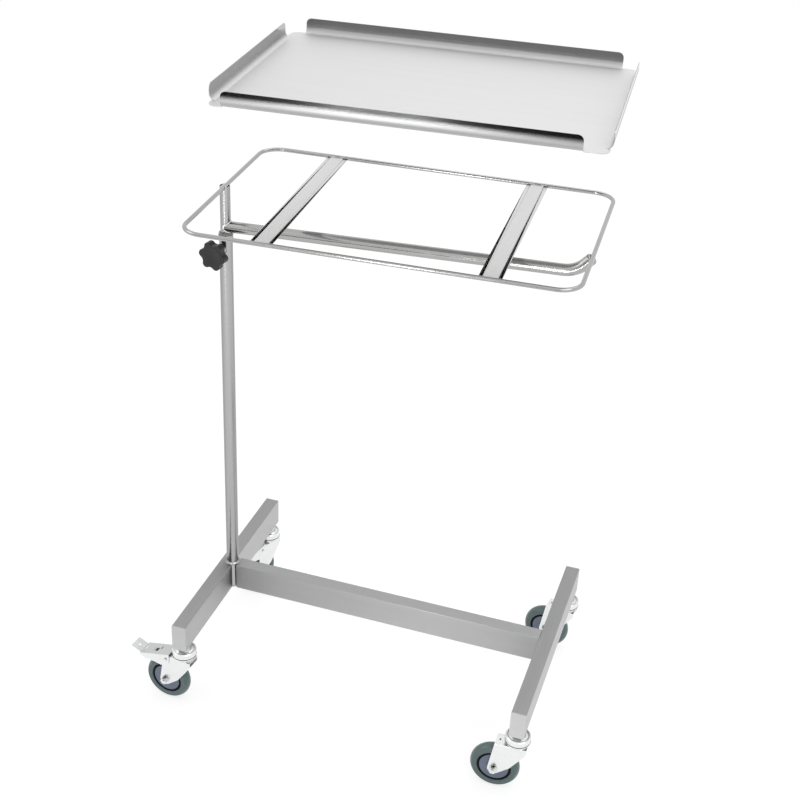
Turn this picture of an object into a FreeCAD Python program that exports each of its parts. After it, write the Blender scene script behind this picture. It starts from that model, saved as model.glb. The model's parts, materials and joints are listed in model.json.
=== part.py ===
import FreeCAD, Part
import math
import os

# Mobile instrument table: an H-shaped base on four swivel casters, a telescopic post at the left side,
# and a tray ring on a support arm that carries a lift-off tray.
# Millimetres. The origin is on the floor under the middle of the base, +X right, +Y back, +Z up.

# Clearances
slip = 0.06             # radial gap of a shaft or tube that turns or slides in its bore
touch = 0.3             # gap between pieces that rest on each other but come apart
race_gap = 0.2          # play of a ball between its two races

# Base of rectangular tube
foot_spacing = 710.0    # between the centrelines of the two foot bars
foot_length = 494.0
rail_width = 30.0
rail_height = 60.0
rail_wall = 2.0
rail_corner = 2.0
end_plate = 2.0         # welded plate that closes each foot bar

# Telescopic post
post_offset = 10.0      # post axis, to the right of the left foot bar's centreline
post_diameter = 26.0
post_wall = 1.5
post_rise = 766.0       # top of the outer post over the top of the base
post_plug = 3.0
socket_wall = 3.0
socket_rise = 3.0
socket_lip = 0.8        # thickness of the socket's rim at its top
bore_ease = 2.0         # how far a tool that drills one wall of a tube runs past it
collar_wall = 1.2
collar_height = 9.0
bush_flange = 3.7
bush_length = 60.0

# Inner mast, which slides and turns in the post
mast_diameter = 20.0
mast_wall = 1.5
mast_inside = 640.0     # from the arm's underside down to the mast's foot
mast_prong = 2.0        # how far the mast's notched top reaches over the ring rod's axis
mast_bush_length = 40.0
plug_flange = 4.0
plug_spigot = 15.0
swivel = 3.0            # degrees that the table top is turned to the left

# Support arm
arm_diameter = 22.0
arm_wall = 1.5
arm_turn = 5.7          # degrees to the front of the ring's middle line
arm_slope = 3.85        # degrees upwards from the mast to the bend
arm_bend_radius = 57.0
arm_end_angle = 49.2    # degrees over the horizontal where the arm meets the ring
arm_seat = 3.5          # arm's axis below the ring rod's axis where they cross
arm_short = 0.5         # how far the arm's end stays short of that crossing
arm_end_round = 4.0
arm_end_plug = 4.5

# Tray ring and its two cross strips
ring_length = 700.0     # between rod centrelines
ring_depth = 450.0
ring_corner = 40.0
rod_diameter = 8.0
ring_rise = 80.0        # ring rod's axis over the arm's axis at the mast
strip_width = 40.0
strip_sheet = 1.5
strip_edge = 6.5        # lower flat along each long side
strip_step = 1.5        # height of the pressed centre over that flat
strip_spacing = 400.0
strip_drop = 3.0        # top of a strip below the top of the rods

# Lift-off tray
tray_length = 662.0
tray_depth = 474.0
tray_height = 28.5
tray_sheet = 1.2
tray_bend = 12.0        # outer radius where a flange turns up
tray_corner = 17.0
corner_step = 4.0       # how far the tray's corners stay inside the outer faces of the flanges
front_flange = (30.0, 44.0)     # from the tray's corners to the left and right ends of this flange
back_flange = (30.0, 32.0)
left_flange = (30.0, 42.0)      # from the tray's corners to the front and back ends of this flange
right_flange = (30.0, 42.0)
flange_corner = 10.0
tray_shift = 37.3       # tray centre, to the right of the ring's centre
tray_turn = 1.3         # degrees that the tray is turned on the ring
tray_hover = 232.7      # how far the tray is held over its place on the ring

# Clamp knob on the post
knob_drop = 29.0        # knob axis below the post's top
knob_side = 9.0         # degrees that the knob's axis turns to the left of straight forwards
knob_diameter = 57.0
knob_waist = 45.0       # across the valleys between the lobes
knob_lobes = 6
knob_at_rest = -7.0     # turn of the knob, in degrees
lobe_radius = 8.0
knob_thickness = 17.0
knob_neck_diameter = 20.0
knob_neck = 7.0
knob_dish = 2.5         # depth of the hollow in the knob's face
knob_face_rim = 4.0     # from the hollow to the valleys between the lobes
knob_rounding = 2.0
screw_diameter = 8.0
screw_in_knob = 12.0
boss_diameter = 17.0
boss_reach = 24.0       # from the post's axis to the boss's outer face
knob_gap = 3.0          # from the boss to the knob's neck
pad_thickness = 2.6
pad_ease = 0.3          # how much smaller the pad's radius is than the screw's

# Swivel casters
stem_inset = 22.5       # caster stem from the foot bar's end
wheel_diameter = 100.0
tyre_room = 13.0        # from the top of the tyre to the fork's crown
wheel_trail = 40.0
tyre_width = 24.0
tyre_inner_radius = 34.4
tyre_shoulder_radius = 44.0
tyre_root_radius = 38.0
tyre_root_width = 10.0
tyre_chamfer = 1.5
core_face_radius = 29.6
core_face_width = 20.0
core_groove_width = 14.0
hub_radius = 13.5
hub_play = 0.3
hub_draft = 1.5         # how much wider the hub is at its foot
sleeve_radius = 6.0
axle_radius = 4.0
axle_hex = 13.0
axle_head = 5.5
axle_nut = 6.5
axle_end = 1.0          # how far the bolt reaches out of its nut
washer_radius = 9.0
washer_sheet = 1.2
stud_radius = 6.0
stud_length = 28.0
stud_socket_radius = 11.0
stud_socket_height = 30.0
stem_hex = 22.0
stem_collar = 11.0
cup_radius = 25.0
cup_depth = 12.0
cup_skirt = 2.5
cup_plate = 6.0
cup_dish = 1.8
cup_fillet = 2.0
cup_play = 0.7          # from the cup's skirt to the lower race
race_radius = 23.5
race_lift = 2.0         # slit between the cup and the race flange
race_flange = 4.0
race_body_radius = 20.0
race_body = 5.5
ball_radius = 3.0
ball_circle = 17.0
ball_count = 12
kingpin_radius = 5.0
kingpin_head_radius = 9.0
kingpin_head = 3.5
fork_sheet = 2.5        # the stack from the stem's collar down to this sheet sets the caster's height
fork_width = 32.0
fork_front = -21.0      # crown's front end, from the stem axis
fork_rear = 42.0
fork_nose = 12.0        # radius of the cheeks around the axle
fork_brow = (-21.0, -46.0)      # front corners of a cheek, from the bar's underside at the stem
fork_chin = (-10.0, -63.0)
fork_jaw = (-31.0, 10.0)        # lowest front corner of a cheek, from the axle
fork_heel_cut = 3.0             # bevel that clears a brake pedal
fork_toe = 70.0                 # degrees below the horizontal of the lowest point drawn on a cheek
fork_crown_bend = 0.5           # inner radius where the crown bends down into a cheek
crown_hole = 2.5
crown_hole_back = 34.0

# Brake pedals on the two left casters
brake_pin = (36.0, -43.0)       # pedal pivot, from the bar's underside at the stem
brake_pin_radius = 2.0
brake_pin_head = 3.5
brake_pin_head_height = 1.5
pedal_sheet = 1.6
pedal_start = 27.5
pedal_end = 99.0
pedal_level = -28.4     # top of the pedal at its inner end, below the bar
pedal_slope = 16.0      # degrees downwards
pedal_tab = 24.0
pedal_tab_width = 29.0
pedal_tab_angle = 21.0  # degrees upwards
pedal_tab_hole = 3.0
pedal_play = 0.4        # between the pedal's sides and the fork's cheeks
pedal_side_rear = 4.0   # depth of the pedal's sides at the outer end
pedal_side_low = (88.0, -59.0)
pedal_side_knee = (64.0, -59.0)
pedal_side_heel = (48.0, -62.0)
pedal_side_front = (28.5, -52.0)
pedal_low_bend = 2.0    # radii of the corners of the pedal's sides
pedal_knee_bend = 6.0
pedal_heel_bend = 4.0
pedal_front_bend = 6.0
pedal_tab_lap = 0.48    # how far the tab's sheet runs under the pedal's end
pedal_front_slot = (56.5, 58.5, -8.5, -0.5)     # start, end and both sides of each slot, from the stem
pedal_window = (61.5, 71.5, -3.0, 7.5)
pedal_rear_slot = (92.5, 95.0, -9.5, 4.5)
shoe_start = 56.0
shoe_end = 70.0
shoe_width = 19.0
shoe_gap = 5.0          # from the brake shoe to the tyre with the brake off

# Places that follow from the sizes above
left_x = -foot_spacing / 2
right_x = foot_spacing / 2
caster_stack = stem_collar + cup_depth + race_lift + race_flange + race_body + fork_sheet
caster_height = caster_stack + tyre_room + wheel_diameter
base_top = caster_height + rail_height
post_x = left_x + post_offset
post_radius = post_diameter / 2
post_inner = post_radius - post_wall
socket_radius = post_radius + socket_wall
post_top = base_top + post_rise
mast_radius = mast_diameter / 2
arm_radius = arm_diameter / 2
arm_z = post_top + bush_flange + touch + arm_radius
ring_z = arm_z + ring_rise
rod_radius = rod_diameter / 2
mast_foot = arm_z - arm_radius - mast_inside
knob_z = post_top - knob_drop
wheel_radius = wheel_diameter / 2
axle_z = wheel_radius - caster_height
cup_top = -stem_collar
cup_bottom = cup_top - cup_depth
race_top = cup_bottom - race_lift
crown_top = race_top - race_flange - race_body
crown_bottom = crown_top - fork_sheet
fork_inside = fork_width - 2 * fork_sheet
shoe_slope = math.tan(math.radians(pedal_slope))
stem_y = foot_length / 2 - stem_inset
tray_seat_z = ring_z + rod_radius + touch
tray_z = tray_seat_z + tray_hover

# Swivel casters: name, place of the stem, direction in which the wheel trails, and whether it has a brake
casters = [
    ("front_left", left_x, -stem_y, 173.0, True),
    ("back_left", left_x, stem_y, 248.0, True),
    ("front_right", right_x, -stem_y, 181.0, False),
    ("back_right", right_x, stem_y, 173.0, False),
]

X = FreeCAD.Vector(1, 0, 0)
Y = FreeCAD.Vector(0, 1, 0)
Z = FreeCAD.Vector(0, 0, 1)
ORIGIN = FreeCAD.Vector(0, 0, 0)


def vec(x, y, z=0.0):
    return FreeCAD.Vector(x, y, z)


def moved(shape, x=0.0, y=0.0, z=0.0):
    copy = shape.copy()
    copy.translate(vec(x, y, z))
    return copy


def turned(shape, axis, degrees, about=ORIGIN):
    copy = shape.copy()
    copy.rotate(about, axis, degrees)
    return copy


def joined(shapes):
    whole = shapes[0]
    if len(shapes) > 1:
        whole = whole.fuse(shapes[1:])
    return whole.removeSplitter()


def disc(radius, low, high):
    return Part.makeCylinder(radius, high - low, vec(0, 0, low))


def tube(outer, inner, low, high):
    return disc(outer, low, high).cut(disc(inner, low - 1, high + 1))


def block(x0, x1, y0, y1, z0, z1):
    return Part.makeBox(x1 - x0, y1 - y0, z1 - z0, vec(x0, y0, z0))


def bent_edges(points, radius, closed=False):
    """Straight edges through the points, with a tangent arc at each corner that has one."""
    corners = [vec(*p) for p in points]
    count = len(corners)
    radii = radius if isinstance(radius, list) else [radius] * count
    starts, ends, edges = list(corners), list(corners), []
    arcs = {}
    for i in range(count):
        if radii[i] <= 0 or (not closed and i in (0, count - 1)):
            continue
        here = corners[i]
        back = (corners[i - 1] - here).normalize()
        ahead = (corners[(i + 1) % count] - here).normalize()
        half = back.getAngle(ahead) / 2
        reach = radii[i] / math.tan(half)
        middle = (back + ahead).normalize() * (radii[i] / math.sin(half) - radii[i])
        starts[i] = here + back * reach
        ends[i] = here + ahead * reach
        arcs[i] = Part.Arc(starts[i], here + middle, ends[i]).toShape()
    for i in range(count):
        if i in arcs:
            edges.append(arcs[i])
        following = (i + 1) % count
        last = i == count - 1
        if (closed or not last) and ends[i].distanceToPoint(starts[following]) > 1e-6:
            edges.append(Part.LineSegment(ends[i], starts[following]).toShape())
    return edges


def plate(points, radius=0.0):
    """A flat face with rounded corners."""
    return Part.Face(Part.Wire(bent_edges(points, radius, closed=True)))


def pipe(points, bend, radius):
    """A round bar bent along the points."""
    path = Part.Wire(bent_edges(points, bend))
    start = vec(*points[0])
    ahead = vec(*points[1]) - start
    section = Part.Wire(Part.Circle(start, ahead, radius).toShape())
    return path.makePipeShell([section], True, False)


def rectangle(width, height):
    w, h = width / 2, height / 2
    return [(-w, -h), (w, -h), (w, h), (-w, h)]


def near(edge, point):
    """True for a round edge whose centre is at the point."""
    return edge.CenterOfMass.distanceToPoint(vec(*point)) < touch


def turned_solid(profile):
    """A solid of revolution about Z from (radius, height) points."""
    face = Part.Face(Part.makePolygon([vec(r, 0, z) for r, z in profile + profile[:1]]))
    return face.revolve(ORIGIN, Z, 360)


def hexagon(across, low, high):
    corner = across / 2 / math.cos(math.radians(30))
    angles = [math.radians(60 * k) for k in range(6)]
    points = [(corner * math.cos(a), corner * math.sin(a)) for a in angles]
    return moved(plate(points), z=low).extrude(vec(0, 0, high - low))


def side_plate(points, radius, y0, y1):
    """A plate drawn in the X-Z plane and made from y0 to y1."""
    face = turned(plate(points, radius), X, 90)
    return moved(face, y=y0).extrude(vec(0, y1 - y0, 0))


def along_y(shape):
    """Lays a shape that was made along Z down along Y."""
    return turned(shape, X, 90)


# Base

def rail(length):
    """Rectangular tube along Z, its width along X and its height along Y."""
    outer = plate(rectangle(rail_width, rail_height), rail_corner)
    inner = plate(rectangle(rail_width - 2 * rail_wall, rail_height - 2 * rail_wall))
    return outer.extrude(vec(0, 0, length)).cut(inner.extrude(vec(0, 0, length)))


def foot_bar(x, notched):
    length = foot_length - 2 * end_plate
    bar = along_y(moved(rail(length), z=-length / 2))
    bar = moved(bar, x=x, z=caster_height + rail_height / 2)
    for y in (-stem_y, stem_y):
        bar = bar.cut(moved(disc(stud_radius, caster_height - 1, caster_height + rail_wall + 1), x, y))
    if notched:
        bar = bar.cut(moved(disc(socket_radius, caster_height - 1, base_top + 1), post_x))
    return bar


def cross_bar():
    start = post_x + socket_radius - socket_wall / 2
    end = right_x - rail_width / 2
    bar = turned(rail(end - start), X, 90)
    bar = turned(bar, Z, 90)
    bar = moved(bar, x=start, z=caster_height + rail_height / 2)
    return bar.cut(moved(disc(socket_radius, caster_height - 1, base_top + 1), post_x))


def foot_end_plates():
    cap = plate(rectangle(rail_width, rail_height), rail_corner).extrude(vec(0, 0, end_plate))
    cap = along_y(cap)
    height = caster_height + rail_height / 2
    plates = []
    for x in (left_x, right_x):
        plates.append(moved(cap, x, -foot_length / 2 + end_plate, height))
        plates.append(moved(cap, x, foot_length / 2, height))
    return Part.makeCompound(plates)


def post_socket():
    flare = Part.makeCone(socket_radius, post_radius + socket_lip, socket_rise, vec(0, 0, base_top))
    body = disc(socket_radius, caster_height, base_top).fuse(flare).removeSplitter()
    return moved(body.cut(disc(post_radius, caster_height - 1, base_top + socket_rise + 1)), post_x)


def clamp_axis(shape):
    """Turns a shape that points along +Z into the knob's direction and sets it on the post's axis."""
    forward = turned(shape, X, 90)
    return moved(turned(forward, Z, -knob_side), post_x, 0, knob_z)


def outer_post():
    post = moved(tube(post_radius, post_inner, caster_height + post_plug, post_top), post_x)
    return post.cut(clamp_axis(disc(screw_diameter / 2 + slip, 0, post_radius + bore_ease)))


def post_foot_plug():
    return moved(disc(post_radius, caster_height, caster_height + post_plug), post_x)


def post_collar():
    return moved(tube(post_radius + collar_wall, post_radius, post_top - collar_height, post_top), post_x)


def post_guide_bush():
    bore = mast_radius + slip
    bush = tube(post_inner, bore, post_top - bush_length, post_top)
    bush = bush.fuse(tube(post_radius, bore, post_top, post_top + bush_flange)).removeSplitter()
    return moved(bush, post_x).cut(clamp_axis(disc(screw_diameter / 2 + slip, 0, post_radius + bore_ease)))


def clamp_boss():
    boss = clamp_axis(tube(boss_diameter / 2, screw_diameter / 2 + slip, 0, boss_reach))
    return boss.cut(moved(disc(post_radius, knob_z - boss_diameter, knob_z + boss_diameter), post_x))


# Clamp

def clamp_pad():
    start = mast_radius + touch
    return clamp_axis(disc(screw_diameter / 2 - pad_ease, start, start + pad_thickness))


def clamp_screw():
    start = mast_radius + touch + pad_thickness
    return clamp_axis(disc(screw_diameter / 2, start, boss_reach + knob_gap + screw_in_knob))


def spoke(distance, degrees):
    """A point at this distance from the Z axis."""
    angle = math.radians(degrees)
    return vec(distance * math.cos(angle), distance * math.sin(angle))


def knob_outline():
    """Round lobes joined by hollow arcs that are tangent to them."""
    half_step = 180 / knob_lobes
    lobe_place = knob_diameter / 2 - lobe_radius
    waist = knob_waist / 2
    across = math.cos(math.radians(half_step))
    valley_radius = lobe_place ** 2 + waist ** 2 - 2 * lobe_place * waist * across - lobe_radius ** 2
    valley_radius /= 2 * (lobe_radius - waist + lobe_place * across)
    edges = []
    for k in range(knob_lobes):
        here = knob_at_rest + 2 * half_step * k
        centre = spoke(lobe_place, here)
        ends = []
        for side in (-1, 1):
            valley = spoke(waist + valley_radius, here + side * half_step)
            ends.append(centre + (valley - centre).normalize() * lobe_radius)
        following = turned(Part.Vertex(ends[0]), Z, 2 * half_step).Point
        edges.append(Part.Arc(ends[0], spoke(knob_diameter / 2, here), ends[1]).toShape())
        edges.append(Part.Arc(ends[1], spoke(waist, here + half_step), following).toShape())
    return Part.Face(Part.Wire(edges))


def star_knob():
    back = boss_reach + knob_gap
    low = back + knob_neck
    front = low + knob_thickness
    star = moved(knob_outline(), z=low).extrude(vec(0, 0, knob_thickness))
    rims = [edge for edge in star.Edges if abs(edge.BoundBox.ZMax - edge.BoundBox.ZMin) < touch]
    star = star.makeFillet(knob_rounding, rims)
    knob = joined([star, disc(knob_neck_diameter / 2, back, low + knob_rounding)])
    rim = knob_waist / 2 - knob_face_rim
    dish_radius = (rim ** 2 + knob_dish ** 2) / (2 * knob_dish)
    knob = knob.cut(Part.makeSphere(dish_radius, vec(0, 0, front - knob_dish + dish_radius)))
    knob = knob.cut(disc(screw_diameter / 2, back - 1, back + screw_in_knob))
    return clamp_axis(knob)


# Table top: drawn with the mast on Z and the arm along X, then turned about the post

def on_post(shape):
    return moved(turned(shape, Z, swivel), post_x)


def mast_tube():
    top = ring_z + mast_prong
    mast = tube(mast_radius, mast_radius - mast_wall, mast_foot, top)
    notch = along_y(moved(disc(rod_radius, -mast_diameter, mast_diameter), y=ring_z))
    slot = block(-rod_radius, rod_radius, -mast_diameter, mast_diameter, ring_z, top + 1)
    return on_post(mast.cut(notch).cut(slot))


def mast_foot_plug():
    radius = post_inner - touch
    flange = disc(radius, mast_foot - plug_flange, mast_foot)
    spigot = disc(mast_radius - mast_wall, mast_foot, mast_foot + plug_spigot)
    return on_post(joined([flange, spigot]))


def mast_guide_bush():
    low = mast_foot + touch
    return on_post(tube(post_inner - slip, mast_radius + slip, low, low + mast_bush_length))


def arm_route():
    """The arm's centreline: from the mast, up the slope, round the bend and up under the ring's right rod."""
    slope = math.tan(math.radians(arm_slope))
    steep = math.tan(math.radians(arm_end_angle))
    reach = ring_length / math.cos(math.radians(arm_turn))
    height = ring_z - arm_seat
    corner = (height - steep * reach - arm_z) / (slope - steep)
    tip = (reach - arm_short, 0, height - steep * arm_short)
    return [(0, 0, arm_z), (corner, 0, arm_z + slope * corner), tip]


def support_arm():
    route = arm_route()
    bar = pipe(route, arm_bend_radius, arm_radius)
    bar = bar.makeFillet(arm_end_round, [edge for edge in bar.Edges if near(edge, route[2])])
    steep = math.radians(arm_end_angle)
    tip_x, _, tip_z = route[2]
    bore_start = mast_radius - mast_wall
    bore_route = [
        (bore_start, 0, arm_z + math.tan(math.radians(arm_slope)) * bore_start), route[1],
        (tip_x - arm_end_plug * math.cos(steep), 0, tip_z - arm_end_plug * math.sin(steep)),
    ]
    arm = bar.cut(pipe(bore_route, arm_bend_radius, arm_radius - arm_wall))
    arm = arm.cut(disc(mast_radius, arm_z - arm_diameter, arm_z + arm_diameter))
    rod = along_y(disc(rod_radius, -ring_depth / 2, ring_depth / 2))
    return on_post(turned(arm, Z, -arm_turn).cut(moved(rod, ring_length, 0, ring_z)))


def ring_rod():
    half = ring_depth / 2
    middle = ring_length / 2
    front, back = (middle, -half, ring_z), (middle, half, ring_z)
    right = [front, (ring_length, -half, ring_z), (ring_length, half, ring_z), back]
    left = [back, (0, half, ring_z), (0, -half, ring_z), front]
    return on_post(joined([pipe(right, ring_corner, rod_radius), pipe(left, ring_corner, rod_radius)]))


def cross_strip(x):
    """A pressed strip with a raised centre, welded between the front and back rods."""
    w = strip_width / 2
    c = w - strip_edge
    top = ring_z + rod_radius - strip_drop
    low = top - strip_step
    t = strip_sheet
    section = [
        (-w, low - t), (-c, low - t), (-c + t, top - t), (c - t, top - t), (c, low - t), (w, low - t),
        (w, low), (c, low), (c - t, top), (-c + t, top), (-c, low), (-w, low),
    ]
    half = ring_depth / 2
    strip = moved(side_plate(section, 0.0, -half, half), x=x)
    rod = moved(turned(disc(rod_radius, x - strip_width, x + strip_width), Y, 90), z=ring_z)
    return on_post(strip.cut(moved(rod, y=-half)).cut(moved(rod, y=half)))


# Tray: drawn with its underside on Z = 0 and its middle on the Z axis

def tray_flange(start, end):
    """A flange that turns up from the floor, along X from start to end, with its outer face at Y = 0."""
    inner = tray_bend - tray_sheet
    centre = vec(0, tray_bend, tray_bend)
    low = math.radians(45)
    outer_mid = centre + vec(0, -math.sin(low), -math.cos(low)) * tray_bend
    inner_mid = centre + vec(0, -math.sin(low), -math.cos(low)) * inner
    a, b, c = vec(0, tray_bend, 0), vec(0, 0, tray_bend), vec(0, 0, tray_height)
    d, e, f = vec(0, tray_sheet, tray_height), vec(0, tray_sheet, tray_bend), vec(0, tray_bend, tray_sheet)
    edges = [
        Part.Arc(a, outer_mid, b).toShape(), Part.LineSegment(b, c).toShape(), Part.LineSegment(c, d).toShape(),
        Part.LineSegment(d, e).toShape(), Part.Arc(e, inner_mid, f).toShape(), Part.LineSegment(f, a).toShape(),
    ]
    wall = moved(Part.Face(Part.Wire(edges)), x=start).extrude(vec(end - start, 0, 0))
    corners = []
    for edge in wall.Edges:
        at = edge.CenterOfMass
        if abs(at.z - tray_height) < 1e-6 and min(abs(at.x - start), abs(at.x - end)) < 1e-6:
            corners.append(edge)
    return wall.makeFillet(flange_corner, corners)


def tray_shape():
    """The floor with its corners, and a flange on each side, drawn at the front and turned to its place."""
    x, y = tray_length / 2, tray_depth / 2
    floor = plate(rectangle(tray_length - 2 * corner_step, tray_depth - 2 * corner_step), tray_corner)
    floor = floor.extrude(vec(0, 0, tray_sheet))
    sides = [
        (y, front_flange[0] - x, x - front_flange[1], 0),
        (x, right_flange[0] - y, y - right_flange[1], 90),
        (y, back_flange[1] - x, x - back_flange[0], 180),
        (x, left_flange[1] - y, y - left_flange[0], 270),
    ]
    flanges = []
    for edge, start, end, turn in sides:
        floor = floor.cut(turned(block(start, end, -edge - 1, tray_bend - edge, -1, tray_sheet + 1), Z, turn))
        flanges.append(turned(moved(tray_flange(start, end), y=-edge), Z, turn))
    return joined([floor] + flanges)


def tray():
    return on_post(moved(turned(tray_shape(), Z, tray_turn), ring_length / 2 + tray_shift, 0, tray_z))


# Casters: drawn with the stem on the Z axis, the bar's underside at Z = 0 and the wheel trailing along +X

def stem_socket():
    return tube(stud_socket_radius, stud_radius, rail_wall, rail_wall + stud_socket_height)


def caster_stem():
    pin_end = crown_bottom - touch
    pieces = [
        disc(stud_radius, 0, stud_length), hexagon(stem_hex, -stem_collar, 0),
        disc(kingpin_radius, pin_end, -stem_collar), disc(kingpin_head_radius, pin_end - kingpin_head, pin_end),
    ]
    return joined(pieces)


def caster_cup():
    r, s, f = cup_radius, cup_skirt, cup_fillet
    rim = r - s
    return turned_solid([
        (kingpin_radius, cup_top), (rim - 4 * cup_dish, cup_top), (rim - 2 * cup_dish, cup_top - cup_dish),
        (rim, cup_top), (r - f, cup_top), (r, cup_top - f), (r, cup_bottom), (rim, cup_bottom),
        (rim, cup_top - cup_plate), (kingpin_radius, cup_top - cup_plate),
    ])


def lower_race():
    ball_low = cup_top - cup_plate - 2 * race_gap - 2 * ball_radius
    inner = kingpin_radius + slip
    neck = cup_radius - cup_skirt - cup_play
    return turned_solid([
        (inner, ball_low), (neck, ball_low), (neck, race_top), (race_radius, race_top),
        (race_radius, race_top - race_flange), (race_body_radius, race_top - race_flange),
        (race_body_radius, crown_top), (inner, crown_top),
    ])


def race_balls():
    height = cup_top - cup_plate - race_gap - ball_radius
    ball = Part.makeSphere(ball_radius, vec(ball_circle, 0, height))
    return Part.makeCompound([turned(ball, Z, 360 * k / ball_count) for k in range(ball_count)])


def tangent_from(point, centre, radius, side):
    """Where the line from a point touches a circle, on the side that is asked for."""
    dx, dz = point[0] - centre[0], point[1] - centre[1]
    distance = math.hypot(dx, dz)
    angle = math.atan2(dz, dx) + side * math.acos(radius / distance)
    return centre[0] + radius * math.cos(angle), centre[1] + radius * math.sin(angle)


def fork_side(braked):
    """Outline of a cheek in the X-Z plane."""
    axle = (wheel_trail, axle_z)
    heel = [(fork_rear, crown_top)]
    if braked:
        heel = [(fork_rear - fork_heel_cut, crown_top), (fork_rear, crown_top - fork_heel_cut)]
    jaw = (axle[0] + fork_jaw[0], axle[1] + fork_jaw[1])
    rear = tangent_from(heel[-1], axle, fork_nose, -1)
    front = tangent_from(jaw, axle, fork_nose, 1)
    toe = math.radians(-fork_toe)
    bottom = (axle[0] + fork_nose * math.cos(toe), axle[1] + fork_nose * math.sin(toe))
    corners = [front, jaw, fork_chin, fork_brow, (fork_front, crown_top)] + heel + [rear]
    points = [vec(p[0], 0, p[1]) for p in corners]
    edges = [Part.LineSegment(a, b).toShape() for a, b in zip(points, points[1:])]
    edges.append(Part.Arc(points[-1], vec(bottom[0], 0, bottom[1]), points[0]).toShape())
    return Part.Face(Part.Wire(edges))


def swivel_fork(braked):
    half = fork_width / 2
    cheek = moved(fork_side(braked), y=-half).extrude(vec(0, fork_width, 0))
    low = axle_z - fork_nose - 1
    inner = half - fork_sheet
    section = [(-half, low), (-inner, low), (-inner, crown_bottom), (inner, crown_bottom), (inner, low),
               (half, low), (half, crown_top), (-half, crown_top)]
    bends = [0, 0, fork_crown_bend, fork_crown_bend, 0, 0, fork_sheet, fork_sheet]
    channel = turned(turned(plate(section, bends), X, 90), Z, 90)
    channel = moved(channel, x=fork_front).extrude(vec(fork_rear - fork_front + 2 * fork_nose, 0, 0))
    fork = cheek.common(channel)
    fork = fork.cut(disc(kingpin_radius + slip, crown_bottom - 1, crown_top + 1))
    fork = fork.cut(moved(disc(crown_hole, crown_bottom - 1, crown_top + 1), x=crown_hole_back))
    fork = fork.cut(at_axle(disc(axle_radius, -fork_width, fork_width)))
    if braked:
        fork = fork.cut(at_brake_pin(disc(brake_pin_radius, -fork_width, fork_width)))
    return fork.removeSplitter()


def at_axle(shape):
    """Lays a shape made about Z across the fork at the axle."""
    return moved(along_y(shape), x=wheel_trail, z=axle_z)


def at_brake_pin(shape):
    return moved(along_y(shape), x=brake_pin[0], z=brake_pin[1])


def axle_set():
    """Bolt, nut and two washers as separate solids."""
    half = fork_width / 2
    outside = half + washer_sheet
    shank = disc(axle_radius, -outside, outside + axle_nut + axle_end)
    bolt = joined([shank, hexagon(axle_hex, -outside - axle_head, -outside)])
    nut = hexagon(axle_hex, outside, outside + axle_nut)
    nut = nut.cut(disc(axle_radius, outside - 1, outside + axle_nut + 1))
    near_washer = tube(washer_radius, axle_radius, half, outside)
    far_washer = tube(washer_radius, axle_radius, -outside, -half)
    return at_axle(turned(Part.makeCompound([bolt, nut, near_washer, far_washer]), X, 180))


def axle_sleeve():
    return at_axle(tube(sleeve_radius, axle_radius, -fork_inside / 2, fork_inside / 2))


def wheel_core():
    bore = sleeve_radius + slip
    hub = fork_inside / 2 - hub_play
    face, groove, root = core_face_width / 2, core_groove_width / 2, tyre_root_width / 2
    side = [(bore, hub), (hub_radius, hub), (hub_radius + hub_draft, face), (core_face_radius, face),
            (core_face_radius, groove), (tyre_inner_radius, groove), (tyre_inner_radius, root),
            (tyre_root_radius, root)]
    return at_axle(turned_solid(side + [(r, -z) for r, z in reversed(side)]))


def tyre():
    half, root = tyre_width / 2, tyre_root_width / 2
    a = [(tyre_shoulder_radius, -half), (tyre_inner_radius + tyre_chamfer, -half),
         (tyre_inner_radius, -half + tyre_chamfer), (tyre_inner_radius, -root), (tyre_root_radius, -root)]
    points = a + [(r, -z) for r, z in reversed(a)]
    corners = [vec(r, 0, z) for r, z in points]
    edges = [Part.LineSegment(p, q).toShape() for p, q in zip(corners, corners[1:])]
    edges.append(Part.Arc(corners[-1], vec(wheel_radius, 0, 0), corners[0]).toShape())
    return at_axle(Part.Face(Part.Wire(edges)).revolve(ORIGIN, Z, 360))


def pedal_top(u):
    return pedal_level - (u - pedal_start) * shoe_slope


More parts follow.
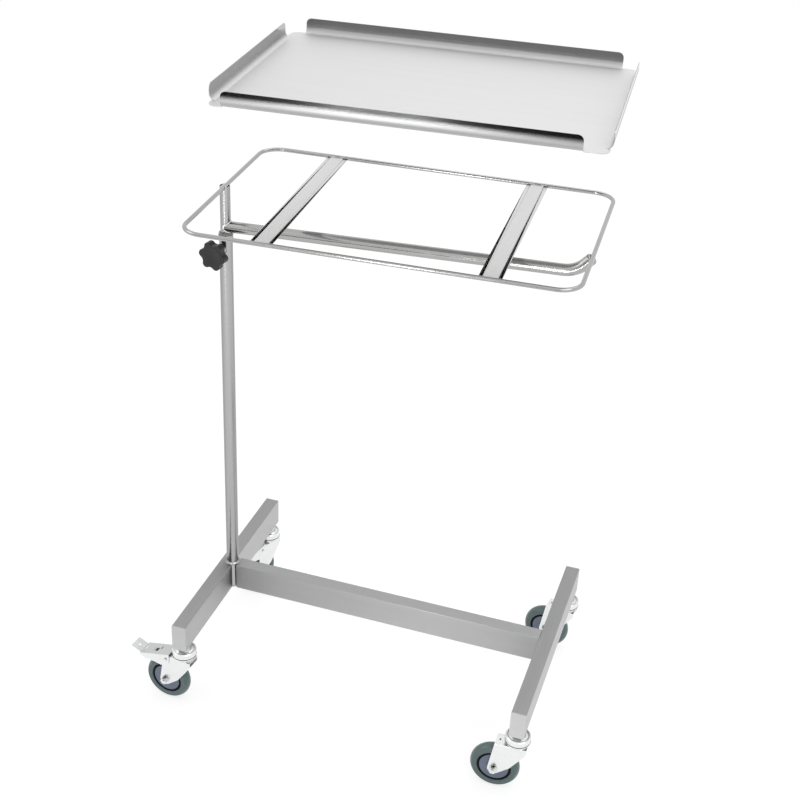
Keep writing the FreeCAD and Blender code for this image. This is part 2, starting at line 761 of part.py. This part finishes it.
def brake_pedal():
    """A pressed channel over the fork with a tab turned up at its outer end."""
    t = pedal_sheet
    outer = fork_width / 2 + pedal_play + t
    tab = math.radians(pedal_tab_angle)
    end_top = pedal_top(pedal_end)
    tip = (pedal_end + pedal_tab * math.cos(tab), end_top + pedal_tab * math.sin(tab))
    inner = pedal_end - t
    sheet = [
        (pedal_start, pedal_level), (pedal_start, pedal_level - t),
        (pedal_end, end_top - t), (pedal_end, end_top),
    ]
    top = side_plate(sheet, 0.0, -outer, outer)
    flap = [
        (inner, pedal_top(inner)), (inner, pedal_top(inner) - t), (pedal_end + pedal_tab_lap, end_top - t),
        (tip[0] + t * math.sin(tab), tip[1] - t * math.cos(tab)), tip, (pedal_end, end_top),
    ]
    top = top.fuse(side_plate(flap, 0.0, -pedal_tab_width / 2, pedal_tab_width / 2))
    side = [
        (pedal_start, pedal_level - t / 2),
        (pedal_end, end_top - t / 2), (pedal_end, end_top - pedal_side_rear),
        pedal_side_low, pedal_side_knee, pedal_side_heel, pedal_side_front,
        (pedal_start, (pedal_side_front[1] + pedal_level) / 2),
    ]
    bends = [0, 0, pedal_low_bend, pedal_knee_bend, 0, pedal_heel_bend, pedal_front_bend, 0]
    sides = [side_plate(side, bends, y, y + t) for y in (-outer, outer - t)]
    pedal = joined([top] + sides)
    for slot in (pedal_front_slot, pedal_window, pedal_rear_slot):
        pedal = pedal.cut(block(*slot, axle_z, 0))
    mid = (pedal_end + tip[0]) / 2
    hole = moved(disc(pedal_tab_hole, -pedal_tab, pedal_tab), x=mid, z=(end_top + tip[1]) / 2)
    pedal = pedal.cut(turned(hole, Y, -pedal_tab_angle, vec(mid, 0, (end_top + tip[1]) / 2)))
    return pedal.cut(at_brake_pin(disc(brake_pin_radius + slip, -fork_width, fork_width)))


def brake_pedal_pin():
    reach = fork_width / 2 + pedal_play + pedal_sheet + touch
    head = reach + brake_pin_head_height
    shank = disc(brake_pin_radius, -reach, reach)
    return at_brake_pin(joined([shank, disc(brake_pin_head, reach, head), disc(brake_pin_head, -head, -reach)]))


def brake_shoe():
    t = pedal_sheet
    low = axle_z
    points = [(shoe_start, pedal_top(shoe_start) - t), (shoe_start, low), (shoe_end, low),
              (shoe_end, pedal_top(shoe_end) - t)]
    shoe = side_plate(points, 0.0, -shoe_width / 2, shoe_width / 2)
    return shoe.cut(at_axle(disc(wheel_radius + shoe_gap, -fork_width, fork_width)))


def at_stem(shape, x, y, direction=0.0):
    return moved(turned(shape, Z, direction), x, y, caster_height)


def at_all_stems(shape):
    return Part.makeCompound([at_stem(shape, x, y) for _, x, y, _, _ in casters])


def caster_pieces(name, x, y, direction, braked):
    pieces = {
        "fork": swivel_fork(braked), "lower_race": lower_race(), "race_balls": race_balls(),
        "axle_set": axle_set(), "axle_sleeve": axle_sleeve(), "wheel_core": wheel_core(), "tyre": tyre(),
    }
    if braked:
        pieces["brake_pedal"] = brake_pedal()
        pieces["pedal_pin"] = brake_pedal_pin()
        pieces["brake_shoe"] = brake_shoe()
    return {f"{name}_{key}": at_stem(shape, x, y, direction) for key, shape in pieces.items()}


def all_pieces():
    middle = ring_length / 2
    pieces = {
        "left_foot_bar": foot_bar(left_x, True), "right_foot_bar": foot_bar(right_x, False),
        "cross_bar": cross_bar(), "foot_end_plates": foot_end_plates(),
        "post_socket": post_socket(), "post_foot_plug": post_foot_plug(), "outer_post": outer_post(),
        "post_collar": post_collar(), "post_guide_bush": post_guide_bush(), "clamp_boss": clamp_boss(),
        "clamp_pad": clamp_pad(), "clamp_screw": clamp_screw(), "star_knob": star_knob(),
        "mast_tube": mast_tube(), "mast_foot_plug": mast_foot_plug(), "mast_guide_bush": mast_guide_bush(),
        "support_arm": support_arm(), "ring_rod": ring_rod(),
        "left_cross_strip": cross_strip(middle - strip_spacing / 2),
        "right_cross_strip": cross_strip(middle + strip_spacing / 2),
        "tray": tray(),
        "stem_sockets": at_all_stems(stem_socket()), "caster_stems": at_all_stems(caster_stem()),
        "caster_cups": at_all_stems(caster_cup()),
    }
    for caster in casters:
        pieces.update(caster_pieces(*caster))
    return pieces


os.makedirs("parts", exist_ok=True)
for node, shape in all_pieces().items():
    shape.exportStep(f"parts/{node}.step")
    solids = shape.Solids
    volume = sum(solid.Volume for solid in solids)
    print(f"{node}: {len(solids)} solid(s), valid {shape.isValid()}, volume {volume:.0f} mm3")
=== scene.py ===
import json
import math

import bmesh
import bpy
from mathutils import Matrix, Vector


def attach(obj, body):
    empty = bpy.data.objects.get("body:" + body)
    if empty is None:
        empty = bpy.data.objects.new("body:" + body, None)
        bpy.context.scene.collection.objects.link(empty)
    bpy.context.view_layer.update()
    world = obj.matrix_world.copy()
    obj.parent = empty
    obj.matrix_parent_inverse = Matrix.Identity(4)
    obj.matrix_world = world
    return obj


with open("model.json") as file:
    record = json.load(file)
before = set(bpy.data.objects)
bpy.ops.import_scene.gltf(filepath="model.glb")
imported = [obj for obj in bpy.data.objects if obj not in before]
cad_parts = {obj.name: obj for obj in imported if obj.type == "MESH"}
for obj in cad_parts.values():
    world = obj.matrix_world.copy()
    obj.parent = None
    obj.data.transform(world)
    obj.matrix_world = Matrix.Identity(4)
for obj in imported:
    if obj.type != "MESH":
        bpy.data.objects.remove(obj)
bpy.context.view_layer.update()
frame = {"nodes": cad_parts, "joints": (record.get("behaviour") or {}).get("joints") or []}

# Camera
CAMERA_AZIMUTH = 16.69       # degrees to the right of straight in front
CAMERA_ELEVATION = 30.12
CAMERA_ROLL = 2.854
CAMERA_TARGET = Vector((0.0138, 0.0041, 0.6890))
CAMERA_DISTANCE = 2.6965
CAMERA_LENS = 62.74

# Studio
FLOOR_SIZE = 60.0
FLOOR_OWN_LIGHT = 0.74       # how much of the floor's white is its own, so that shadows stay faint
WORLD_LEVEL = 0.74
SOFTBOXES = [
    ("key_softbox", (2.2, -1.8, 3.0), 2.2, 22.0),
    ("left_softbox", (-2.8, -1.0, 2.6), 1.8, 13.0),
    ("top_softbox", (0.2, 0.9, 3.6), 2.4, 19.0),
]
UPRIGHT_BOX_PLACE = (-0.33, -2.3, 0.85)    # narrow upright softbox that only metal shows
UPRIGHT_BOX_SIZE = (0.12, 1.5)
UPRIGHT_BOX_POWER = 11.0
# Studio screens that only polished metal shows: name, y, left and right end, lower and upper edge, level,
# and the number of mirror bounces from which the screen is seen
SCREENS = [
    ("front_screen", -1.62, -1.6, 0.9, 0.66, 0.98, 0.003, 1),
    ("tall_screen", -1.63, -4.0, 3.0, 0.30, 4.60, 0.003, 2),
    ("back_screen", 2.50, -0.2, 3.4, 1.25, 3.40, 0.42, 2),
]

# Metal
CLOUDINESS = 0.07            # how much the darker clouds on brushed steel fall below its own shade
BRUSHING = 0.85              # how far reflections are drawn out across the brushing

# Sizes of the table, in metres, where welds and small details sit
POST_X = -0.345
SWIVEL = math.radians(3.0)
ARM_TURN = math.radians(5.7)
ARM_SLOPE = math.radians(3.85)
ARM_Z = 0.991
ARM_RADIUS = 0.011
MAST_RADIUS = 0.010
RING_Z = 1.071
RING_DEPTH = 0.450
ROD_RADIUS = 0.004
STRIP_PLACES = (0.150, 0.550)
TRAY_Z = 1.308
BASE_TOP = 0.210
BASE_HEIGHT = 0.060
POST_RADIUS = 0.013
SOCKET_RISE = 0.003
SOCKET_WALL = 0.003
CROSS_BAR_END = 0.340        # where the cross bar meets the right foot bar
CROSS_BAR_HALF = 0.015

# Welds: thickness of each seam, from its middle
ARM_WELD = 0.0018
MAST_TOP_WELD = 0.0011
STRIP_WELD = 0.0009
FOOT_WELD = 0.0007
CROSS_BAR_WELD = 0.0008

# Black rings of painted shadow and rubber
# Rings of painted shadow in a caster's slits: name, drop from the foot bar's underside, radius
SLIT_SHADOW_RINGS = [("cup", 0.02406, 0.0244), ("race", 0.03005, 0.0212)]
SLIT_SHADOW_THICKNESS = 0.0020
# Black rings beside each wheel's faces: part rubber bead lip, part painted shade of the channel.
WHEEL_RING_PLACE = 0.0093    # from the wheel's middle
WHEEL_RING_RADIUS = 0.0320
WHEEL_RING_THICKNESS = 0.0044

CASTERS = ["front_left", "back_left", "front_right", "back_right"]
BRAKED = ["front_left", "back_left"]


# Shader helpers

class Shader:
    """Builds one node material."""

    def __init__(self, name):
        self.material = bpy.data.materials.new(name)
        self.material.use_nodes = True
        self.tree = self.material.node_tree
        self.surface = self.tree.nodes["Principled BSDF"]
        place = self.add("ShaderNodeTexCoord")
        self.coordinates = place.outputs["Object"]
        self.normal = place.outputs["Normal"]

    def add(self, kind, **settings):
        node = self.tree.nodes.new(kind)
        for key, value in settings.items():
            setattr(node, key, value)
        return node

    def link(self, start, end):
        self.tree.links.new(start, end)

    def set(self, **values):
        for key, value in values.items():
            self.surface.inputs[key.replace("_", " ")].default_value = value
        return self

    def stretched(self, scale):
        mapping = self.add("ShaderNodeMapping")
        mapping.inputs["Scale"].default_value = scale
        self.link(self.coordinates, mapping.inputs["Vector"])
        return mapping.outputs["Vector"]

    def noise(self, scale=1.0, detail=3.0, vector=None, roughness=0.5):
        node = self.add("ShaderNodeTexNoise")
        node.inputs["Scale"].default_value = scale
        node.inputs["Detail"].default_value = detail
        node.inputs["Roughness"].default_value = roughness
        self.link(vector or self.coordinates, node.inputs["Vector"])
        return node.outputs["Fac"]

    def part_of(self, vector, axis):
        """One component of a vector."""
        node = self.add("ShaderNodeSeparateXYZ")
        self.link(vector, node.inputs[0])
        return node.outputs["XYZ".index(axis)]

    def between(self, factor, low, high, start=0.3, end=0.7):
        """A value that runs from low to high as the factor runs from start to end."""
        node = self.add("ShaderNodeMapRange")
        for key, value in (("From Min", start), ("From Max", end), ("To Min", low), ("To Max", high)):
            node.inputs[key].default_value = value
        self.link(factor, node.inputs["Value"])
        return node.outputs["Result"]

    def colours(self, factor, *stops):
        """A colour ramp from (position, colour) stops."""
        ramp = self.add("ShaderNodeValToRGB").color_ramp
        node = self.tree.nodes[-1]
        while len(ramp.elements) < len(stops):
            ramp.elements.new(1.0)
        for element, (position, colour) in zip(ramp.elements, stops):
            element.position = position
            element.color = (*colour, 1.0)
        self.link(factor, node.inputs["Fac"])
        return node.outputs["Color"]

    def times(self, first, second):
        node = self.add("ShaderNodeMix", data_type="RGBA", blend_type="MULTIPLY")
        node.inputs["Factor"].default_value = 1.0
        self.link(first, node.inputs[6])
        self.link(second, node.inputs[7])
        return node.outputs[2]

    def to(self, socket, output):
        self.link(output, self.surface.inputs[socket])
        return self

    def bump(self, height, strength, distance):
        node = self.add("ShaderNodeBump")
        node.inputs["Strength"].default_value = strength
        node.inputs["Distance"].default_value = distance
        self.link(height, node.inputs["Height"])
        self.link(node.outputs["Normal"], self.surface.inputs["Normal"])
        return self


def grey(value, tint=(1.0, 1.0, 1.0)):
    return tuple(value * t for t in tint)


def brushed_steel(name, along, side, top, roughness):
    """Satin tube with fine lines along its length, and painted shade by facing: its upper faces take one
    shade and its sides another.
    """
    shader = Shader(name).set(Metallic=1.0, Anisotropic=BRUSHING)
    across = shader.add("ShaderNodeTangent", direction_type="RADIAL", axis="XYZ"[along])
    shader.to("Tangent", across.outputs["Tangent"])
    lines = [1400.0, 1400.0, 1400.0]
    lines[along] = 14.0
    broad = [22.0, 22.0, 22.0]
    broad[along] = 2.5
    fine = shader.noise(1.0, 2.0, shader.stretched(lines))
    cloudy = shader.noise(1.0, 3.0, shader.stretched(broad))
    # Painted shade and painted highlight: upper faces and sides get their own shades in place of the light
    # that falls on them.
    facing = shader.part_of(shader.normal, "Z")
    base = shader.colours(facing, (0.35, grey(side)), (0.8, grey(top)))
    shade = shader.colours(cloudy, (0.25, grey(1.0 - CLOUDINESS)), (0.75, grey(1.0)))
    shader.to("Base Color", shader.times(base, shade))
    shader.to("Roughness", shader.between(fine, roughness - 0.05, roughness + 0.07))
    return shader.bump(fine, 0.06, 0.0004).material


def round_tube(name, middle, edge, roughness):
    """Satin round tube with fine lines along its height, and painted shade that darkens it where its wall
    turns away from the view.
    """
    shader = Shader(name).set(Metallic=1.0)
    turn = shader.add("ShaderNodeLayerWeight")
    turn.inputs["Blend"].default_value = 0.5
    fine = shader.noise(1.0, 2.0, shader.stretched((1400.0, 1400.0, 14.0)))
    streaks = shader.noise(1.0, 3.0, shader.stretched((260.0, 260.0, 2.0)))
    # Painted shade: the wall is darkened where it turns away from the view.
    base = shader.colours(turn.outputs["Facing"], (0.05, grey(middle)), (0.55, grey(edge)))
    shade = shader.colours(streaks, (0.3, grey(0.88)), (0.7, grey(1.0)))
    shader.to("Base Color", shader.times(base, shade))
    shader.to("Roughness", shader.between(fine, roughness - 0.05, roughness + 0.07))
    return shader.bump(fine, 0.05, 0.0004).material


def polished_steel(name, value, roughness, tint=(1.0, 1.0, 0.99)):
    """Bright steel with faint handling marks."""
    shader = Shader(name).set(Metallic=1.0)
    marks = shader.noise(9.0, 4.0)
    dark, light = grey(value * 0.95, tint), grey(value * 1.02, tint)
    shader.to("Base Color", shader.colours(marks, (0.3, dark), (0.7, light)))
    shader.to("Roughness", shader.between(shader.noise(34.0, 5.0), roughness - 0.03, roughness + 0.05))
    return shader.bump(shader.noise(55.0, 2.0), 0.03, 0.0005).material


def pressed_sheet(name):
    """Polished sheet: soft on its floor, mirror-like towards the flanges' edges, with faint streaks and
    painted shade that makes the flanges darker than the floor.
    """
    shader = Shader(name).set(Metallic=1.0)
    streaks = shader.noise(1.0, 3.0, shader.stretched((3.0, 60.0, 60.0)))
    faint = shader.colours(streaks, (0.3, grey(0.98)), (0.7, grey(1.0)))
    height = shader.part_of(shader.coordinates, "Z")
    upright = shader.between(height, 0.0, 1.0, TRAY_Z + 0.002, TRAY_Z + 0.007)
    # Painted shade: the upright flanges are darker than the floor.
    shade = shader.colours(upright, (0.0, grey(0.65)), (1.0, grey(0.45)))
    shader.to("Base Color", shader.times(faint, shade))
    shader.to("Roughness", shader.between(height, 0.60, 0.10, TRAY_Z + 0.004, TRAY_Z + 0.023))
    return shader.material


def zinc_plate(name, value, roughness, metallic=0.9, side=None):
    """Bright plating with the slight mottling of a bath. Side is the painted shade of faces that aren't
    level, set apart from the level faces' shade.
    """
    shader = Shader(name).set(Metallic=metallic)
    mottle = shader.noise(40.0, 3.0)
    tint = (0.985, 1.0, 0.995)
    plate = shader.colours(mottle, (0.3, grey(0.97, tint)), (0.7, grey(1.0, tint)))
    # Painted shade by facing: faces that aren't level take the side shade.
    facing = shader.part_of(shader.normal, "Z")
    level = shader.colours(facing, (0.30, grey(side or value)), (0.55, grey(value)))
    shader.to("Base Color", shader.times(plate, level))
    shader.to("Roughness", shader.between(shader.noise(60.0, 3.0), roughness - 0.04, roughness + 0.08))
    return shader.bump(shader.noise(120.0, 2.0), 0.02, 0.0003).material


def moulded(name, colour, roughness, grain, specular=0.5):
    """Moulded plastic or rubber with a fine grain."""
    shader = Shader(name)
    shader.set(Specular_IOR_Level=specular)
    cloudy = shader.noise(26.0, 4.0)
    darker = tuple(c * 0.86 for c in colour)
    shader.to("Base Color", shader.colours(cloudy, (0.3, darker), (0.7, colour)))
    shader.to("Roughness", shader.between(shader.noise(90.0, 3.0), roughness - 0.05, roughness + 0.07))
    return shader.bump(shader.noise(grain, 2.0), 0.10, 0.0003).material


def dress(node, material):
    """Gives a CAD node one material all over."""
    mesh = frame["nodes"][node].data
    mesh.materials.clear()
    mesh.materials.append(material)


def dress_frame():
    # Painted shade: the foot bars' upper faces are darker than their sides.
    along_y = brushed_steel("foot_bar_steel", 1, 0.56, 0.40, 0.48)
    along_x = brushed_steel("cross_bar_steel", 0, 0.42, 0.42, 0.48)
    # Painted reflection: a lighter copy of the brushed steel for the bars' end plates and the post's foot
    # plug.
    lit_end_steel = brushed_steel("lit_end_plate_steel", 0, 0.62, 0.50, 0.44)
    post = round_tube("post_steel", 0.52, 0.33, 0.24)
    polished = polished_steel("ring_steel", 0.42, 0.18)
    sheet = pressed_sheet("tray_sheet")
    # Painted highlight: the strips' upper faces are lighter than their sides.
    strip = brushed_steel("strip_steel", 1, 0.50, 0.72, 0.34)
    zinc = zinc_plate("zinc_plate", 0.82, 0.30, side=0.88)
    # Painted shade: the pedal's level faces are darker than its sides.
    pedal = zinc_plate("pedal_plate", 0.60, 0.36, side=0.88)
    bright = zinc_plate("bright_plate", 0.80, 0.14, 1.0)
    bush = moulded("bush_plastic", (0.30, 0.30, 0.30), 0.4, 400.0)
    knob = moulded("knob_plastic", (0.010, 0.011, 0.011), 0.45, 700.0)
    core = moulded("wheel_plastic", (0.145, 0.180, 0.250), 0.36, 300.0)
    rubber = moulded("tyre_rubber", (0.100, 0.148, 0.150), 0.27, 500.0)
    pad = moulded("brake_rubber", (0.02, 0.02, 0.02), 0.6, 500.0)
    plan = [
        (along_y, ["left_foot_bar", "right_foot_bar"]),
        (along_x, ["cross_bar"]),
        (lit_end_steel, ["foot_end_plates", "post_foot_plug"]),
        (post, ["post_socket", "outer_post", "mast_tube", "clamp_boss", "post_collar"]),
        (polished, ["support_arm", "ring_rod"]),
        (strip, ["left_cross_strip", "right_cross_strip"]),
        (sheet, ["tray"]),
        (zinc, ["stem_sockets", "caster_cups"]),
        (bright, ["caster_stems", "clamp_screw"]),
        (bush, ["post_guide_bush", "clamp_pad", "mast_guide_bush", "mast_foot_plug"]),
        (knob, ["star_knob"]),
    ]
    for material, nodes in plan:
        for node in nodes:
            dress(node, material)
    for name in CASTERS:
        parts = [("fork", zinc), ("lower_race", zinc), ("race_balls", bright), ("axle_set", bright),
                 ("axle_sleeve", bright), ("wheel_core", core), ("tyre", rubber)]
        if name in BRAKED:
            parts += [("brake_pedal", pedal), ("pedal_pin", bright), ("brake_shoe", pad)]
        for part, material in parts:
            dress(f"{name}_{part}", material)


# Welds

def on_post(x, y, z):
    """A place given in the ring's own directions, with the post at x = 0."""
    c, s = math.cos(SWIVEL), math.sin(SWIVEL)
    return Vector((POST_X + c * x - s * y, s * x + c * y, z))


def bead(name, body, points, radius, closed, material, ripples=0.18):
    """A thin tube along the points. Its thickness ripples like the beads of a weld, or stays even at 0."""
    sides = 8
    count = len(points)
    mesh = bmesh.new()
    rings = []
    travelled = 0.0
    for i, point in enumerate(points):
        back = points[i - 1] if closed or i > 0 else point
        ahead = points[(i + 1) % count] if closed or i < count - 1 else point
        along = (ahead - back).normalized()
        across = along.orthogonal().normalized()
        if rings:
            across = (previous - along * previous.dot(along)).normalized()
        previous = across
        other = along.cross(across)
        travelled += (point - points[i - 1]).length if i else 0.0
        ripple = radius * (1.0 + ripples * math.cos(2 * math.pi * travelled / (radius * 1.3)))
        if not closed and i in (0, count - 1):
            ripple *= 0.35
        ring = []
        for k in range(sides):
            angle = 2 * math.pi * k / sides
            outward = math.cos(angle) * across + math.sin(angle) * other
            ring.append(mesh.verts.new(point + ripple * outward))
        rings.append(ring)
    pairs = list(zip(rings, rings[1:]))
    if closed:
        pairs.append((rings[-1], rings[0]))
    for first, second in pairs:
        for k in range(sides):
            mesh.faces.new((first[k], first[(k + 1) % sides], second[(k + 1) % sides], second[k]))
    if not closed:
        mesh.faces.new(list(reversed(rings[0])))
        mesh.faces.new(rings[-1])
    bmesh.ops.recalc_face_normals(mesh, faces=mesh.faces)
    data = bpy.data.meshes.new(name)
    mesh.to_mesh(data)
    mesh.free()
    for face in data.polygons:
        face.use_smooth = True
    data.materials.append(material)
    piece = bpy.data.objects.new(name, data)
    bpy.context.collection.objects.link(piece)
    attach(piece, body)
    return piece


def straight(start, end, count=24):
    return [start.lerp(end, i / (count - 1)) for i in range(count)]


def circle(centre, axis, radius, count=90):
    across = axis.orthogonal().normalized()
    other = axis.cross(across)
    turns = [2 * math.pi * k / count for k in range(count)]
    return [centre + radius * (math.cos(a) * across + math.sin(a) * other) for a in turns]


def build_caster_rings():
    """Black rings of painted shadow in the casters' slits, and black rings in the channels beside the
    wheels' faces that are part rubber lip, part painted shade.
    """
    black = moulded("painted_shade_and_rubber", (0.004, 0.004, 0.004), 0.7, 600.0, 0.15)
    for joint in frame["joints"]:
        body = joint["child"]
        name, _, kind = body.rpartition("_")
        if name not in CASTERS:
            continue
        axis = Vector(joint["axis"]).normalized()
        place = Vector(joint["pos_m"])
        if kind == "caster":
            # Painted shadow: a black ring in each slit of the caster's swivel.
            for label, drop, radius in SLIT_SHADOW_RINGS:
                place.z = BASE_TOP - BASE_HEIGHT - drop
                ring = circle(place, axis, radius)
                bead(f"{name}_{label}_slit_shadow", body, ring, SLIT_SHADOW_THICKNESS / 2, True,
                     black, 0.0)
        # Part rubber bead lip, part painted shade of the channel beside the wheel's face.
        if kind == "wheel":
            for side, label in ((-1, "a"), (1, "b")):
                ring = circle(place + side * WHEEL_RING_PLACE * axis, axis, WHEEL_RING_RADIUS)
                bead(f"{name}_wheel_ring_{label}", body, ring, WHEEL_RING_THICKNESS / 2, True,
                     black, 0.0)


def build_welds():
    # Painted glint: the weld beads are much lighter than the steel they join.
    weld = polished_steel("weld_steel", 0.80, 0.22, (1.0, 1.0, 1.0))
    # around the arm's root on the mast
    root = []
    for k in range(72):
        angle = 2 * math.pi * k / 72
        y = ARM_RADIUS * math.cos(angle)
        reach = math.sqrt(max(MAST_RADIUS ** 2 - y ** 2, 0.0)) + 0.0006
        z = ARM_Z + ARM_RADIUS * math.sin(angle) / math.cos(ARM_SLOPE) + reach * math.tan(ARM_SLOPE)
        root.append(on_post(reach * math.cos(ARM_TURN) + y * math.sin(ARM_TURN),
                            y * math.cos(ARM_TURN) - reach * math.sin(ARM_TURN), z))
    bead("arm_root_weld", "mast", root, ARM_WELD, True, weld, 0.06)
    # on both sides of the ring's left rod, in the mast's notched top
    for side in (-1, 1):
        x = side * (ROD_RADIUS + 0.0002)
        reach = math.sqrt(MAST_RADIUS ** 2 - x ** 2)
        points = straight(on_post(x, -reach, RING_Z + 0.0018), on_post(x, reach, RING_Z + 0.0018))
        bead(f"mast_top_weld_{'left' if side < 0 else 'right'}", "mast", points, MAST_TOP_WELD, False, weld)
    # where the strips meet the front and back rods
    half = RING_DEPTH / 2 - ROD_RADIUS
    for place, label in zip(STRIP_PLACES, ("left", "right")):
        for side, end in ((-1, "front"), (1, "back")):
            for offset, part in ((-0.011, "a"), (0.011, "b")):
                start = on_post(place + offset - 0.006, side * half, RING_Z + 0.0014)
                finish = on_post(place + offset + 0.006, side * half, RING_Z + 0.0014)
                points = straight(start, finish, 16)
                bead(f"{label}_strip_{end}_weld_{part}", "mast", points, STRIP_WELD, False, weld)
    # around the post's foot and the socket's top
    dull = polished_steel("dull_weld_steel", 0.42, 0.36)
    upright = Vector((0.0, 0.0, 1.0))
    for label, radius, z in (("post_foot_weld", POST_RADIUS, BASE_TOP + SOCKET_RISE),
                             ("socket_weld", POST_RADIUS + SOCKET_WALL, BASE_TOP)):
        bead(label, "base", circle(Vector((POST_X, 0.0, z)), upright, radius), FOOT_WELD, True, dull)
    # where the cross bar meets the right foot bar
    low, high = BASE_TOP - BASE_HEIGHT + 0.003, BASE_TOP - 0.003
    for y, label in ((-CROSS_BAR_HALF, "front"), (CROSS_BAR_HALF, "back")):
        points = straight(Vector((CROSS_BAR_END, y, high)), Vector((CROSS_BAR_END, y, low)), 40)
        bead(f"cross_bar_{label}_weld", "base", points, CROSS_BAR_WELD, False, weld)


# Studio

def greater(tree, first, second):
    node = tree.nodes.new("ShaderNodeMath")
    node.operation = "MAXIMUM"
    tree.links.new(first, node.inputs[0])
    tree.links.new(second, node.inputs[1])
    return node.outputs[0]


def seen_directly(tree):
    """1 for camera, glossy and transmission rays, 0 for the rays that light the object."""
    rays = tree.nodes.new("ShaderNodeLightPath").outputs
    mirrored = greater(tree, rays["Is Camera Ray"], rays["Is Glossy Ray"])
    return greater(tree, mirrored, rays["Is Transmission Ray"])


def flat_object(name, corners):
    mesh = bpy.data.meshes.new(name)
    mesh.from_pydata(corners, [], [(0, 1, 2, 3)])
    piece = bpy.data.objects.new(name, mesh)
    bpy.context.collection.objects.link(piece)
    return piece


def build_floor():
    half = FLOOR_SIZE / 2
    corners = [(-half, -half, 0), (half, -half, 0), (half, half, 0), (-half, half, 0)]
    floor = flat_object("studio_floor", corners)
    material = bpy.data.materials.new("pale_floor")
    material.use_nodes = True
    tree = material.node_tree
    tree.nodes.remove(tree.nodes["Principled BSDF"])
    lit = tree.nodes.new("ShaderNodeBsdfDiffuse")
    lit.inputs["Color"].default_value = (0.86, 0.86, 0.86, 1.0)
    faint = tree.nodes.new("ShaderNodeBsdfDiffuse")
    faint.inputs["Color"].default_value = (0.34, 0.34, 0.34, 1.0)
    own = tree.nodes.new("ShaderNodeEmission")
    own.inputs["Strength"].default_value = FLOOR_OWN_LIGHT
    shown = tree.nodes.new("ShaderNodeAddShader")
    tree.links.new(faint.outputs[0], shown.inputs[0])
    tree.links.new(own.outputs[0], shown.inputs[1])
    mix = tree.nodes.new("ShaderNodeMixShader")
    tree.links.new(seen_directly(tree), mix.inputs[0])
    tree.links.new(lit.outputs[0], mix.inputs[1])
    tree.links.new(shown.outputs[0], mix.inputs[2])
    tree.links.new(mix.outputs[0], tree.nodes["Material Output"].inputs["Surface"])
    floor.data.materials.append(material)


def build_screens():
    """Cloth for the mirror bounces that a screen is meant for, and clear for all others."""
    for name, y, left, right, low, high, value, bounces in SCREENS:
        screen = flat_object(name, [(left, y, low), (right, y, low), (right, y, high), (left, y, high)])
        material = bpy.data.materials.new(f"{name}_cloth")
        material.use_nodes = True
        tree = material.node_tree
        tree.nodes.remove(tree.nodes["Principled BSDF"])
        cloth = tree.nodes.new("ShaderNodeEmission")
        cloth.inputs["Strength"].default_value = value
        clear = tree.nodes.new("ShaderNodeBsdfTransparent")
        enough = tree.nodes.new("ShaderNodeMath")
        enough.operation = "GREATER_THAN"
        enough.inputs[1].default_value = bounces - 0.5
        mix = tree.nodes.new("ShaderNodeMixShader")
        tree.links.new(tree.nodes.new("ShaderNodeLightPath").outputs["Glossy Depth"], enough.inputs[0])
        tree.links.new(enough.outputs[0], mix.inputs[0])
        tree.links.new(clear.outputs[0], mix.inputs[1])
        tree.links.new(cloth.outputs[0], mix.inputs[2])
        tree.links.new(mix.outputs[0], tree.nodes["Material Output"].inputs["Surface"])
        screen.data.materials.append(material)
        screen.visible_camera = False
        screen.visible_diffuse = False
        screen.visible_transmission = False
        screen.visible_shadow = False


def build_world():
    world = bpy.data.worlds.new("studio_world")
    bpy.context.scene.world = world
    world.use_nodes = True
    tree = world.node_tree
    level = tree.nodes["Background"]
    level.inputs["Color"].default_value = (1.0, 1.0, 1.0, 1.0)
    level.inputs["Strength"].default_value = WORLD_LEVEL
    white = tree.nodes.new("ShaderNodeBackground")
    white.inputs["Color"].default_value = (1.0, 1.0, 1.0, 1.0)
    mix = tree.nodes.new("ShaderNodeMixShader")
    tree.links.new(seen_directly(tree), mix.inputs[0])
    tree.links.new(level.outputs[0], mix.inputs[1])
    tree.links.new(white.outputs[0], mix.inputs[2])
    tree.links.new(mix.outputs[0], tree.nodes["World Output"].inputs["Surface"])


def softbox(name, place, width, height, power):
    """A lamp that faces the middle of the table."""
    light = bpy.data.lights.new(name, "AREA")
    light.shape = "RECTANGLE"
    light.size = width
    light.size_y = height
    light.energy = power
    lamp = bpy.data.objects.new(name, light)
    bpy.context.collection.objects.link(lamp)
    lamp.location = place
    lamp.rotation_euler = (Vector((0.0, 0.0, 0.7)) - Vector(place)).to_track_quat("-Z", "Y").to_euler()
    return lamp


def build_lights():
    for name, place, size, power in SOFTBOXES:
        softbox(name, place, size, size, power)
    strip = softbox("strip_softbox", UPRIGHT_BOX_PLACE, *UPRIGHT_BOX_SIZE, UPRIGHT_BOX_POWER)
    strip.visible_diffuse = False


def build_camera():
    azimuth, elevation = math.radians(CAMERA_AZIMUTH), math.radians(CAMERA_ELEVATION)
    back = Vector((math.sin(azimuth) * math.cos(elevation), -math.cos(azimuth) * math.cos(elevation),
                   math.sin(elevation)))
    right = Vector((math.cos(azimuth), math.sin(azimuth), 0.0))
    up = back.cross(right)
    roll = math.radians(CAMERA_ROLL)
    turned_right = math.cos(roll) * right + math.sin(roll) * up
    turned_up = math.cos(roll) * up - math.sin(roll) * right
    data = bpy.data.cameras.new("camera")
    data.lens = CAMERA_LENS
    data.sensor_width = 36.0
    camera = bpy.data.objects.new("camera", data)
    bpy.context.collection.objects.link(camera)
    axes = Matrix((turned_right, turned_up, back)).transposed().to_4x4()
    camera.matrix_world = Matrix.Translation(CAMERA_TARGET + back * CAMERA_DISTANCE) @ axes
    bpy.context.scene.camera = camera


build_camera()
build_floor()
build_screens()
build_world()
build_lights()
bpy.context.scene.view_settings.view_transform = "Standard"
dress_frame()
build_welds()
build_caster_rings()
